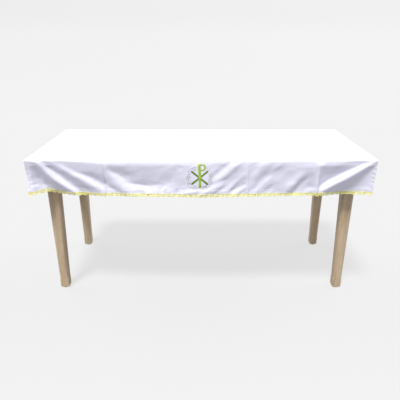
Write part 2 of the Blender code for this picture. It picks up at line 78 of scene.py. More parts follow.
CLOTH_THICKNESS = 0.0011
EDGE_RADIUS = 0.0045
EDGE_STEP = 0.0014
EDGE_ROLL = 0.0014
BOARD_REACH = 0.0005

# ---- helpers


def smoothstep(low, high, x):
    x = np.clip((np.asarray(x, float) - low) / (high - low), 0, 1)
    return x * x * (3 - 2 * x)


def monotone_curve(knots, values, x):
    """Smooth interpolation that never overshoots its knots."""
    gap = np.diff(knots)
    slope = np.diff(values) / gap
    steep = np.zeros(len(knots))
    inside = slope[:-1] * slope[1:] > 0
    first, second = 2 * gap[1:] + gap[:-1], gap[1:] + 2 * gap[:-1]
    with np.errstate(divide="ignore", invalid="ignore"):
        mean = (first + second) / (first / slope[:-1] + second / slope[1:])
    steep[1:-1] = np.where(inside, mean, 0)
    i = np.clip(np.searchsorted(knots, x) - 1, 0, len(gap) - 1)
    h = gap[i]
    u = np.clip((x - knots[i]) / h, 0, 1)
    return (
        values[i] * (1 + 2 * u) * (1 - u) ** 2
        + steep[i] * h * u * (1 - u) ** 2
        + values[i + 1] * u * u * (3 - 2 * u)
        - steep[i + 1] * h * u * u * (1 - u)
    )


def noise(x, y, seed):
    """Smooth noise from -1 to 1, one bump per unit."""
    table = np.random.default_rng(seed).uniform(-1, 1, (97, 89))
    i, j = np.floor(x).astype(int), np.floor(y).astype(int)
    u, v = x - i, y - j
    u, v = u * u * (3 - 2 * u), v * v * (3 - 2 * v)
    low = table[i % 97, j % 89] * (1 - u) + table[(i + 1) % 97, j % 89] * u
    high = table[i % 97, (j + 1) % 89] * (1 - u) + table[(i + 1) % 97, (j + 1) % 89] * u
    return low * (1 - v) + high * v


def blurred(grid, sigma, axis):
    """A Gaussian blur along one axis, with the edges held."""
    reach = int(3 * sigma) + 1
    kernel = np.exp(-0.5 * (np.arange(-reach, reach + 1) / sigma) ** 2)
    kernel /= kernel.sum()
    padded = np.pad(grid, [(reach, reach) if a == axis else (0, 0) for a in (0, 1)], mode="edge")
    return np.apply_along_axis(lambda line: np.convolve(line, kernel, mode="valid"), axis, padded)


def new_object(name, data):
    """An object of the data, in the scene."""
    made = bpy.data.objects.new(name, data)
    bpy.context.collection.objects.link(made)
    return made


def new_mesh(name, points, faces):
    mesh = bpy.data.meshes.new(name)
    mesh.from_pydata(points, [], faces)
    mesh.shade_smooth()
    return mesh


def paired(s, t):
    """Two arrays of the same shape."""
    return np.broadcast_arrays(np.asarray(s, float), np.asarray(t, float))


def thicken(piece, thickness, offset):
    """Gives a sheet its thickness: -1 keeps the outer face, and 0 the middle."""
    solid = piece.modifiers.new("thickness", "SOLIDIFY")
    solid.thickness = thickness
    solid.offset = offset


def quads(*corners):
    """Four-cornered faces, from arrays of point numbers."""
    return np.stack(corners, axis=-1).reshape(-1, 4).tolist()


# ---- folds


def in_metres(*rows):
    """Nested rows of millimetres, in metres."""
    return tuple(row / 1000 if np.isscalar(row) else in_metres(*row) for row in rows)


def upright(s, *rows):
    """A line that stays at one s, from rows of (t, height)."""
    return [(t, s, height) for t, height in rows]


# Fold lines, crests and valleys: rows of (t, s, height) in millimetres, from the top's edge to the hem.
LEFT_POCKET = in_metres(
    upright(-1003, (0, 0), (30, -3), (60, -7), (100, -10), (150, -6), (190, 1), (215, 4)),
    ((0, -985, 1), (20, -983, 1), (50, -979, 0), (90, -976, -1), (120, -974, -2), (150, -973, 1),
     (190, -972, 6), (215, -971, 8)),
    ((0, -974, 0), (12, -972, 1), (34, -968, -1), (60, -963, -6), (90, -958, -13), (120, -952, -18),
     (150, -946, -16), (190, -936, -8), (215, -931, -5)),
    ((0, -962, 0), (12, -960, 2), (34, -956, -1), (60, -954, -9), (90, -949, -18), (120, -939, -25),
     (150, -927, -30), (170, -917, -34), (190, -905, -37), (215, -890, -40)),
    ((0, -926, 7), (12, -917, 13), (25, -907, 13), (50, -889, 12), (75, -870, 11), (100, -850, 10),
     (125, -826, 8), (150, -792, 5), (170, -762, 2), (190, -735, -2), (215, -702, -7)),
    ((0, -903, 1), (12, -897, 0), (20, -891, -1), (35, -881, -4), (50, -866, -7), (65, -851, -10),
     (85, -829, -14), (100, -814, -15), (115, -798, -16), (130, -781, -16), (150, -758, -16),
     (170, -737, -17), (190, -718, -18), (215, -694, -19)),
    ((0, -872, 3), (20, -830, 4), (50, -782, 5), (75, -745, 6), (100, -704, 7), (125, -660, 7),
     (150, -622, 7), (170, -594, 5), (190, -574, 3), (215, -546, 1)),
)
CENTRE = in_metres(
    ((0, -815, 1), (20, -790, 1), (35, -768, 0), (50, -746, -1), (65, -720, -2), (80, -688, -5),
     (100, -642, -8), (125, -597, -10), (145, -573, -10), (170, -535, -8), (190, -510, -6), (215, -490, -6)),
    ((0, -570, 4), (15, -562, 8), (30, -553, 8), (60, -540, 6), (80, -525, 6), (100, -510, 6), (125, -490, 7),
     (150, -464, 8), (170, -441, 8), (190, -420, 7), (215, -395, 6)),
    ((0, -545, 1), (30, -532, 3), (50, -522, 0), (70, -505, -5), (85, -480, -8), (100, -450, -9),
     (120, -420, -10), (140, -396, -11), (160, -376, -6), (190, -350, 3), (215, -325, 5)),
    ((0, -460, 1), (30, -430, 6), (50, -410, 4), (80, -370, -1), (120, -330, -6), (150, -302, -10),
     (175, -290, -1), (195, -280, 5), (215, -275, 7)),
    ((0, -240, 1), (30, -240, 5), (80, -240, 0), (130, -235, -4), (145, -230, -5), (170, -225, 1),
     (190, -220, 4), (215, -220, 7)),
    upright(-180, (0, 1), (30, 5), (80, 2), (130, -4), (160, 0), (190, 6), (215, 7)),
    upright(-147, (0, 1), (30, 4), (80, 3), (130, 2), (170, 5), (215, 7)),
    upright(-105, (0, 1), (30, 0), (70, 3), (100, 5), (140, 4), (170, 8), (215, 10)),
    upright(-60, (0, 1), (30, 0), (100, 6), (150, 8), (180, 12), (215, 13)),
    upright(55, (0, 1), (30, 0), (60, 2), (100, 8), (150, 13), (180, 14), (215, 12)),
    upright(200, (0, 1), (30, 3), (100, 1), (150, 1), (215, 6)),
    upright(272, (0, 1), (30, 4), (100, 4), (215, 4)),
    upright(340, (0, 1), (30, 5), (80, 3), (150, 1), (215, 3)),
    upright(450, (0, 1), (30, 3), (70, 0), (130, 1), (160, 0), (215, -4)),
    ((0, 540, 1), (30, 540, 3), (100, 540, 3), (140, 520, 3), (190, 500, -3), (215, 490, -4)),
    upright(600, (0, 1), (40, 5), (100, -1), (150, -8), (190, -8), (215, -7)),
    upright(640, (0, 1), (40, 6), (70, 6), (100, 1), (150, -8), (170, -10), (190, -9), (215, -9)),
    ((0, 672, 2), (30, 673, 8), (100, 674, 5), (150, 676, 3), (190, 677, 1), (215, 677, 0)),
)
RIGHT_POCKET = in_metres(
    ((0, 700, 1), (30, 700, 6), (60, 698, 1), (100, 696, -6), (130, 692, -10), (150, 688, -12),
     (165, 686, -10), (190, 684, -4), (215, 684, -3)),
    ((0, 950, 1), (15, 928, 0), (35, 888, -1), (55, 850, -6), (78, 811, -11), (100, 774, -14),
     (125, 740, -16), (145, 713, -17), (165, 697, -15), (185, 690, -10), (215, 690, -8)),
    ((0, 992, 3), (20, 966, 9), (33, 943, 12), (50, 914, 14), (70, 883, 15), (90, 853, 14), (105, 830, 13),
     (125, 793, 12), (142, 760, 10), (160, 727, 8), (175, 708, 5), (190, 702, 0), (215, 700, -6)),
    ((0, 999, 0), (30, 990, 2), (50, 982, -2), (90, 958, -7), (130, 925, -13), (160, 895, -18),
     (185, 862, -23), (200, 835, -26), (215, 800, -28)),
    ((0, 1000, 0), (50, 992, -1), (90, 982, -4), (130, 972, -7), (160, 965, -10), (190, 960, -12),
     (215, 955, -13)),
    upright(1003, (0, 0), (100, 0), (215, 2)),
)
# A slanting pull, in millimetres: (s, t of its upper end, s, t of its lower end, half-width, height).
# A pull with a height over 0 looks down along its middle, and one under 0 looks up.
PULLS = in_metres(
    (155, 10, 55, 90, 12, 1.3), (195, 12, 60, 132, 16, -2.8), (250, 4, 105, 136, 14, 1.6),
    (255, 60, 125, 190, 14, -1.2), (135, 118, -25, 196, 12, -3), (130, 150, 60, 194, 9, 1.6),
    (218, 122, 160, 186, 10, 1.8), (260, 145, 180, 194, 11, -2.8), (312, 8, 280, 36, 9, 1),
    (345, 20, 285, 100, 14, -1.2), (408, 8, 275, 184, 15, 1.3), (405, 85, 305, 186, 13, -1.8),
    (412, 140, 360, 182, 10, 1.4), (478, 12, 415, 66, 14, 1.1), (600, 70, 480, 155, 20, -1.8),
    (605, 80, 505, 204, 19, 3.2), (655, 160, 600, 192, 12, -1.6), (-736, 163, -700, 193, 8, -1.8),
    (-690, 166, -652, 192, 8, -1.5), (-410, 150, -398, 200, 8, 1.6), (-345, 160, -285, 194, 9, -1.6),
    (-280, 150, -268, 200, 8, 1.5), (-205, 150, -240, 196, 9, -1.6), (-138, 148, -122, 178, 8, -1.4),
    (-125, 26, -105, 46, 9, 1.6), (-150, 192, 30, 158, 10, -2), (-405, 150, -300, 166, 10, -2.2),
    (-395, 182, -350, 182, 7, 1), (-560, 140, -500, 190, 9, -2), (-985, 158, -935, 164, 6, -1.6),
)
# The cloth's roll over the edge, in millimetres: (s, rise, the depth at which it hangs).
SHOULDER = in_metres(
    (-900, 0, 16), (-600, 1, 16), (-540, 5, 26), (-450, 3, 18), (-300, 3, 20), (-150, 5, 26),
    (-30, 9, 38), (50, 7, 32), (100, 4, 22), (190, 8, 36), (250, 2, 16), (650, 2, 16), (680, 7, 34),
    (720, 2, 20), (900, 1, 16), (1003, 0, 16),
)
# A storage crease: (s, ridge, step down to its right).
STORAGE_CREASES = (
    (-0.938, -0.0015, 0.0014), (-0.553, -0.002, 0.0026), (-0.147, 0.0018, 0.0006),
    (0.271, 0.003, 0.0012), (0.674, 0.0042, 0.0022),
)
CREASE_WIDTH, CREASE_STEP_WIDTH = 0.0045, 0.0028
CREASE_STEP_REACH = 0.035
CREASE_LEAN = 0.03
# Slack in the cloth: (height, pitch along s, its slant, pitch along t, its slant, added to the seed).
SLACK = (
    (0.0016, 0.09, 0.12, 0.07, 0.30, 0),
    (0.0008, 0.034, 0.05, 0.030, math.inf, 1),
    (0.0003, 0.013, 0.03, 0.014, math.inf, 6),
)
# The cloth is calmer at the emblem: (share, half-width, middle's depth, half-height).
CALM = (0.7, 0.10, 0.1, 0.08)
GRID_STEP = 0.0025
GRID_BLUR = 1.5
# Below the board's edge, a fold may lean in by this much for each metre down.
POCKET_LEAN = 1.3
POCKET_SOFTNESS = 0.0012
SEAM_PUCKER_PITCH = 0.025
SEAM_PUCKER_HEIGHT = 0.0013
SEAM_PUCKER_REACH = 0.016
HEM_DEPTH = 0.026
HEM_LINE = CLOTH_DROP - HEM_DEPTH
HEM_STEP = 0.0006
HEM_PUCKER_HEIGHT = 0.0011


def shifted(lines, by, scale=1.0, mirror=False):
    """Fold lines moved along the drop, with heights scaled, or mirrored left to right."""
    sign = -1 if mirror else 1
    moved = [tuple((t, sign * s + by, h * scale) for t, s, h in line) for line in lines]
    return moved[::-1] if mirror else moved


class Drop:
    """One side of the cloth: its frame, and the height of its folds on a fine grid."""

    def __init__(self, name, along, outward, half, distance, lines, pulls, creases, seed):
        self.name = name
        self.along, self.outward = np.array(along, float), np.array(outward, float)
        self.half = half
        self.is_long = half == HALF_LENGTH
        self.distance = distance
        self.seed = seed
        s = np.linspace(-half, half, int(2 * half / GRID_STEP) + 1)
        t = np.linspace(0, FULL_DROP + 0.01, int((FULL_DROP + 0.01) / GRID_STEP) + 1)
        self.s, self.t = s, t
        grid = np.zeros((len(t), len(s)))
        table = [np.array(line, float).T for line in lines]
        for row, depth in enumerate(t):
            knots = np.array([np.interp(depth, depths, places) for depths, places, _ in table])
            rises = np.array([np.interp(depth, depths, heights) for depths, _, heights in table])
            grid[row] = monotone_curve(knots, rises, s)
        grid = blurred(blurred(grid, GRID_BLUR, 1), GRID_BLUR, 0)
        ss, tt = np.meshgrid(s, t)
        if self.is_long:
            places, rises, depths = np.array(SHOULDER).T
            rise, depth = np.interp(s, places, rises), np.interp(s, places, depths)
            grid += rise * smoothstep(-0.2, 1, tt / depth) * (1 - 0.5 * smoothstep(0.03, 0.16, tt))
        for s0, t0, s1, t1, width, height in pulls:
            run = np.array([s1 - s0, t1 - t0])
            length = np.linalg.norm(run)
            run = run / length
            along_line = ((ss - s0) * run[0] + (tt - t0) * run[1]) / length
            beside = (ss - s0) * run[1] - (tt - t0) * run[0]
            if run[0] > 0:
                beside = -beside
            taper = smoothstep(-0.15, 0.2, along_line) * smoothstep(1.15, 0.75, along_line)
            grid -= height * taper * (beside / width) * np.exp(0.5 - 0.5 * (beside / width) ** 2)
        for place, ridge, step in creases:
            away = ss - place - CREASE_LEAN * (tt - 0.1)
            near = np.exp(-np.abs(away) / CREASE_WIDTH)
            uneven = 0.75 + 0.25 * noise(tt / 0.03, ss * 0, seed + 5)
            grid += ridge * near * uneven
            fading = np.exp(-np.abs(away) / CREASE_STEP_REACH)
            grid -= step * uneven * np.tanh(away / CREASE_STEP_WIDTH) * fading
        share, half_width, middle, half_height = CALM
        spot = np.exp(-((ss / half_width) ** 2) - ((tt - middle) / half_height) ** 2)
        calm = 1 - share * spot * self.is_long
        for rise, pitch_s, slant_s, pitch_t, slant_t, more in SLACK:
            grid += calm * rise * noise(ss / pitch_s + tt / slant_s, tt / pitch_t - ss / slant_t, seed + more)
        grid *= smoothstep(-0.004, 0.012, tt)
        floor = -BOARD_REACH - POCKET_LEAN * np.maximum(0, tt - BOARD_EDGE - 0.001)
        above = grid - floor
        grid = floor + 0.5 * (above + np.sqrt(above**2 + POCKET_SOFTNESS**2))
        grid *= smoothstep(0, 0.008, tt)
        near_ends = smoothstep(0.5 * half, 0.7 * half, np.abs(ss))
        crisp = 0.25 + 0.75 * near_ends + 0.25 * noise(ss / 0.05, tt * 0, seed + 7)
        self.grid = grid + EDGE_ROLL * crisp * smoothstep(0, 0.005, tt) * smoothstep(0.016, 0.005, tt)

    def height(self, s, t):
        """Height of the folds, with the seams' puckers and the hem."""
        s, t = paired(s, t)
        x = np.clip((s + self.half) / (self.s[1] - self.s[0]), 0, len(self.s) - 1.001)
        y = np.clip(t / (self.t[1] - self.t[0]), 0, len(self.t) - 1.001)
        i, j = x.astype(int), y.astype(int)
        u, v = x - i, y - j
        g = self.grid
        upper = g[j, i] * (1 - u) + g[j, i + 1] * u
        lower = g[j + 1, i] * (1 - u) + g[j + 1, i + 1] * u
        base = upper * (1 - v) + lower * v
        from_seam = self.half - np.abs(s)
        wander = 0.5 * noise(t / 0.045, t * 0, self.seed + 2)
        pucker = np.sin(2 * math.pi * (t / SEAM_PUCKER_PITCH + wander) + from_seam / 0.010)
        near = np.exp(-from_seam / SEAM_PUCKER_REACH)
        base = base + SEAM_PUCKER_HEIGHT * pucker * near * smoothstep(0.015, 0.04, t)
        base = base + HEM_STEP * smoothstep(HEM_LINE, HEM_LINE + 0.002, t)
        at_hem = smoothstep(HEM_LINE - 0.012, HEM_LINE + 0.004, t)
        hem_pucker = noise(s / 0.011 + 3 * t, t / 0.02, self.seed + 3) * at_hem
        return base + HEM_PUCKER_HEIGHT * hem_pucker * smoothstep(0, 0.03, from_seam)


def corner_pocket_lines(left_scale, right_scale):
    """The fold lines of a short side, with the long side's corner pockets."""
    shift = HALF_LENGTH - HALF_DEPTH
    seam = upright(-HALF_DEPTH, (0, 0), (0.1, -0.001), (0.215, -0.006))
    left, right = shifted(LEFT_POCKET[1:], shift, left_scale), shifted(RIGHT_POCKET, -shift, right_scale)
    return [seam] + left + right


FRONT_LINES = LEFT_POCKET + CENTRE + RIGHT_POCKET
BACK_CREASES = tuple((-s, ridge, -step) for s, ridge, step in STORAGE_CREASES[::-1])
END_CREASES = ((0.0, 0.0024, 0.0008),)
BACK_PULLS = in_metres(
    (-200, 10, -80, 120, 16, 4), (50, 20, 130, 110, 14, 3), (220, 110, 120, 190, 12, 3.5),
    (-350, 15, -260, 150, 16, 3.5),
)
RIGHT_PULLS = in_metres((100, 12, -20, 150, 16, 3))
LEFT_PULLS = in_metres((-100, 12, 30, 140, 16, 3))
RIGHT_LINES, LEFT_LINES = corner_pocket_lines(0.55, 0.8), corner_pocket_lines(0.8, 0.5)
BACK_LINES = shifted(FRONT_LINES, 0, 0.75, True)
# Each drop's half-length, and how far out it hangs.
LONG, SHORT = (HALF_LENGTH, HALF_DEPTH), (HALF_DEPTH, HALF_LENGTH)
DROPS = [
    Drop("front", (1, 0, 0), (0, -1, 0), *LONG, FRONT_LINES, PULLS, STORAGE_CREASES, 11),
    Drop("right", (0, 1, 0), (1, 0, 0), *SHORT, RIGHT_LINES, RIGHT_PULLS, END_CREASES, 23),
    Drop("back", (-1, 0, 0), (0, 1, 0), *LONG, BACK_LINES, BACK_PULLS, BACK_CREASES, 37),
    Drop("left", (0, -1, 0), (-1, 0, 0), *SHORT, LEFT_LINES, LEFT_PULLS, END_CREASES, 41),
]


def rounded(point):
    """Points of the cloth's sharp box, moved onto the same box with rounded edges."""
    inner = point.copy()
    for axis, half in enumerate((HALF_LENGTH, HALF_DEPTH)):
        inner[..., axis] = np.clip(point[..., axis], EDGE_RADIUS - half, half - EDGE_RADIUS)
    inner[..., 2] = np.minimum(point[..., 2], TOP_LEVEL - EDGE_RADIUS)
    away = point - inner
    length = np.linalg.norm(away, axis=-1, keepdims=True)
    return inner + away * EDGE_RADIUS / np.maximum(length, 1e-9)


HEM_SAG = 0.007
# Where the front's hem rises at the left pocket: (s, rise, width).
HEM_RISES = ((-0.906, 0.012, 0.066), (-0.79, 0.003, 0.06))
HEM_DIP = 0.001
HEM_DIP_REACH = 0.035


def front_hem_lift(s):
    """The rise of the front's hem at the left pocket, less its dip at the seam."""
    lift = sum(rise * np.exp(-(((s - place) / width) ** 2)) for place, rise, width in HEM_RISES)
    return lift - HEM_DIP * smoothstep(HEM_DIP_REACH, 0, s + HALF_LENGTH)


def hem_shift(drop, s, t):
    """How far the hem hangs under (-) or over (+) its level."""
    share = smoothstep(0.02, CLOTH_DROP, t)
    lift = -HEM_SAG * (1 - (s / drop.half) ** 2)
    if drop.name == "front":
        lift = lift + front_hem_lift(s)
    if drop.name == "left":
        lift = lift + front_hem_lift(-HALF_LENGTH) * smoothstep(HEM_DIP_REACH, 0, HALF_DEPTH - s)
    return share * lift


# A drop's end follows the folds of the next drop over this distance.
CORNER_REACH = 0.05


def drop_point(index, s, t):
    """A point of the cloth's outer face on one drop."""
    drop = DROPS[index]
    s, t = paired(s, t)
    sharp = s[..., None] * drop.along + drop.distance * drop.outward + np.zeros(3)
    sharp[..., 2] = TOP_LEVEL - t
    point = rounded(sharp)
    point = point + drop.height(s, t)[..., None] * drop.outward
    for side, neighbour in ((1, DROPS[(index + 1) % 4]), (-1, DROPS[index - 1])):
        near = smoothstep(CORNER_REACH, 0, drop.half - side * s)
        corner = neighbour.height(np.full_like(t, -side * neighbour.half), t)
        point = point + (near * corner)[..., None] * neighbour.outward
    point[..., 2] += hem_shift(drop, s, t)
    return point


CREASE_SPREAD = 0.045
# The cloth's height over the top: (level, wide waves, small waves).
TOP_WAVES = (0.0004, 0.0004, 0.0002)


def top_point(x, y):
    """A point of the cloth's outer face on the top, with the storage creases' ridges."""
    sharp = np.stack([x, y, np.full_like(x, TOP_LEVEL)], axis=-1)
    point = rounded(sharp)
    inside = smoothstep(0, CORNER_REACH, HALF_DEPTH - np.abs(y))
    inside = inside * smoothstep(0, CORNER_REACH, HALF_LENGTH - np.abs(x))
    level, wide, small = TOP_WAVES
    rise = level + wide * noise(x / 0.11, y / 0.09, 61) + small * noise(x / 0.04, y / 0.05, 62)
    for place, ridge, _ in STORAGE_CREASES:
        rise += 0.6 * abs(ridge) * np.exp(-np.abs(x - place) / CREASE_WIDTH)
        rise += 0.0008 * np.exp(-(((x - place) / CREASE_SPREAD) ** 2))
    rise += 0.0011 * np.exp(-np.abs(y) / CREASE_WIDTH) + 0.0006 * np.exp(-((y / CREASE_SPREAD) ** 2))
    point[..., 2] += np.maximum(rise, 0) * inside
    return point


# ---- cloth mesh


GRID_SPACING = 0.0078
# The grid's lines from an edge of the cloth, in steps of EDGE_STEP, and from a storage crease.
EDGE_LINES = np.array([0, 1, 2, 3, 4.5, 6.5, 9])
CREASE_LINES = (-0.0045, -0.0016, 0, 0.0016, 0.0045)
CREASE_CLEARANCE = 0.0052


def spaced(half, extra=()):
    """Grid lines from -half to half, finer at both ends and near the extra places."""
    edge = half - EDGE_LINES * EDGE_STEP
    inner = edge[-1]
    count = max(1, round(2 * inner / GRID_SPACING))
    lines = list(np.linspace(-inner, inner, count + 1)) + list(edge[:-1]) + list(-edge[:-1])
    for place in extra:
        if abs(place) < inner:
            lines = [x for x in lines if abs(x - place) > CREASE_CLEARANCE]
            lines += [place + away for away in CREASE_LINES]
    return np.unique(np.round(lines, 6))


ALONG_X = spaced(HALF_LENGTH, [s for s, _, _ in STORAGE_CREASES])
ALONG_Y = spaced(HALF_DEPTH)
# The top has a fine strip this many lines wide at each end, and coarser rows between.
STRIP = 8
COARSE_SKIP = 6
MIDDLE_LINE = ALONG_Y[np.argmin(np.abs(ALONG_Y))]
ALONG_Y_COARSE = np.unique(
    [*ALONG_Y[:STRIP], *ALONG_Y[STRIP:-STRIP:COARSE_SKIP], *ALONG_Y[-STRIP:], MIDDLE_LINE]
)
AT_HEM = [HEM_LINE - 0.0015, HEM_LINE, HEM_LINE + 0.0015]
OVER_HEM, UNDER_HEM = np.linspace(0.0135, HEM_LINE - 0.004, 32), np.linspace(HEM_LINE + 0.005, CLOTH_DROP, 6)
DOWN = np.unique(np.round([*EDGE_LINES[:-1] * EDGE_STEP, *OVER_HEM, *AT_HEM, *UNDER_HEM], 6))


WELD_DISTANCE = 0.00002


class Patchwork:
    """Grids of faces, welded into one mesh with flat coordinates."""

    def __init__(self):
        self.points, self.faces, self.flat = [], [], []
        self.count = 0

    def add(self, points, flat):
        """Adds a grid of points and its faces, and returns the points' numbers."""
        rows, cols = points.shape[:2]
        ids = np.arange(rows * cols).reshape(rows, cols) + self.count
        self.faces += quads(ids[:-1, :-1], ids[:-1, 1:], ids[1:, 1:], ids[1:, :-1])
        self.points.append(points.reshape(-1, 3))
        self.flat.append(flat.reshape(-1, 2))
        self.count += rows * cols
        return ids

    def mesh(self, name):
        flat = np.concatenate(self.flat)
        mesh = new_mesh(name, np.concatenate(self.points).tolist(), self.faces)
        layer = mesh.uv_layers.new(name="flat")
        corners = np.zeros(len(mesh.loops), dtype=np.int32)
        mesh.loops.foreach_get("vertex_index", corners)
        layer.data.foreach_set("uv", flat[corners].astype(np.float32).ravel())
        shape = bmesh.new()
        shape.from_mesh(mesh)
        bmesh.ops.remove_doubles(shape, verts=shape.verts, dist=WELD_DISTANCE)
        shape.to_mesh(mesh)
        shape.free()
        return mesh


def make_cloth():
    """The whole cloth: the top, and four drops that meet it and each other."""
    patches = Patchwork()
    x, y = np.meshgrid(ALONG_X[STRIP:-STRIP], ALONG_Y_COARSE)
    main = patches.add(top_point(x, y), np.stack([x, y], axis=-1)).tolist()
    match = [int(np.argmin(np.abs(ALONG_Y - line))) for line in ALONG_Y_COARSE]
    for outer_x, at_right in ((ALONG_X[:STRIP], False), (ALONG_X[-STRIP:], True)):
        x, y = np.meshgrid(outer_x, ALONG_Y)
        strip = patches.add(top_point(x, y), np.stack([x, y], axis=-1))
        fine = strip[:, 0 if at_right else -1].tolist()
        for low, (first, last) in enumerate(zip(match, match[1:])):
            run = fine[first : last + 1]
            if at_right:
                patches.faces.append([main[low + 1][-1], main[low][-1], *run])
            else:
                patches.faces.append([main[low][0], main[low + 1][0], *run[::-1]])
    for index, drop in enumerate(DROPS):
        s, t = np.meshgrid(ALONG_X if drop.is_long else ALONG_Y, DOWN)
        flat_x = s * drop.along[0] + (drop.distance + t) * drop.outward[0]
        flat_y = s * drop.along[1] + (drop.distance + t) * drop.outward[1]
        patches.add(drop_point(index, s, t)[::-1], np.stack([flat_x, flat_y], axis=-1)[::-1])
    cloth = new_object("altar_cloth_sheet", patches.mesh("altar_cloth_sheet"))
    thicken(cloth, CLOTH_THICKNESS, -1)
    return cloth


# ---- lace and embroidery


NORMAL_STEP = 0.0008


def conform(index, s, t, lift):
    """A point that stands off the cloth's outer face along its normal."""
    s, t = paired(s, t)
    across = drop_point(index, s + NORMAL_STEP, t) - drop_point(index, s - NORMAL_STEP, t)
    down = drop_point(index, s, t + NORMAL_STEP) - drop_point(index, s, t - NORMAL_STEP)
    normal = np.cross(down, across)
    normal /= np.maximum(np.linalg.norm(normal, axis=-1, keepdims=True), 1e-12)
    return drop_point(index, s, t) + normal * np.asarray(lift)[..., None]


class Gathered:
    """Points and faces of many small shapes that make one object."""

    def __init__(self):
        self.points, self.faces, self.count = [], [], 0

    def take(self, points, faces):
        flat = np.asarray(points).reshape(-1, 3)
        self.points.append(flat)
        self.faces += [tuple(int(i) + self.count for i in face) for face in faces]
        self.count += len(flat)

    def loft(self, rings):
        """Closed skins from an array of shapes, rings, points and coordinates."""
        shapes, many, around = rings.shape[:3]
        ids = np.arange(shapes * many * around).reshape(shapes, many, around)
        after = np.roll(ids, -1, axis=2)
        skin = quads(ids[:, :-1], after[:, :-1], after[:, 1:], ids[:, 1:])
        self.take(rings, skin + ids[:, 0, ::-1].tolist() + ids[:, -1].tolist())

    def cords(self, index, s, t, lift, radius, sides=4):
        """Threads along paths on the cloth, one row of s and t each, as tubes."""
        s, t = np.atleast_2d(np.asarray(s, float)), np.atleast_2d(np.asarray(t, float))
        run_s, run_t = np.gradient(s, axis=1), np.gradient(t, axis=1)
        length = np.maximum(np.hypot(run_s, run_t), 1e-9)
        beside_s, beside_t = (run_t / length)[..., None], (-run_s / length)[..., None]
        turn = 2 * math.pi * (np.arange(sides) + 0.5) / sides
        radius = np.broadcast_to(radius, s.shape)[..., None]
        lift = np.broadcast_to(lift, s.shape)[..., None] + radius * np.sin(turn)
        ring_s = s[..., None] + beside_s * radius * np.cos(turn)
        ring_t = t[..., None] + beside_t * radius * np.cos(turn)
        self.loft(conform(index, ring_s, ring_t, lift))

    def object(self, name, outward=True):
        """One object of the shapes, with closed ones' faces turned outward."""
        mesh = new_mesh(name, np.concatenate(self.points).tolist(), self.faces)
        if outward:
            shape = bmesh.new()
            shape.from_mesh(mesh)
            bmesh.ops.recalc_face_normals(shape, faces=shape.faces)
            shape.to_mesh(mesh)
            shape.free()
        return new_object(name, mesh)


LACE_TOP = CLOTH_DROP - 0.0030
LACE_BAND = 0.0105
LACE_SCALLOP = 0.0092
LACE_LIFT = 0.0006
LACE_HEADER = 0.0042
MOTIF_PITCH = 0.0308
# The share of its pitch that a motif fills, and of that at the fan's root.
MOTIF_SHARE = 0.985
FAN_ROOT = 0.62
MOTIF_COLUMNS = 19
EYELET_ROWS = [1, 3]
PICOTS = 9
PICOT_HEIGHT = 0.0007
SPOKES = (-0.72, -0.43, -0.14, 0.14, 0.43, 0.72)
SPOKE_RADIUS = 0.00045
# Cords across a motif: (depth in the motif, radius, the share by which the radius varies).
ARCS = ((0.60, 0.0005, 0), (0.97, 0.0008, 0.25))
GROUND_THICKNESS = 0.0004


def lace_place(middle, half_pitch, u, v):
    """A point of a motif: u from -1 to 1 across, v from 0 at its top to 1 at its edge."""
    fan = FAN_ROOT + (1 - FAN_ROOT) * smoothstep(0, 0.8, v)
    depth = LACE_BAND + LACE_SCALLOP * np.sqrt(np.maximum(0, 1 - np.abs(u) ** 2.4))
    s = middle + half_pitch * MOTIF_SHARE * u * np.where(v <= 0, 1, fan)
    return s, LACE_TOP + LACE_HEADER + v * (depth - LACE_HEADER)


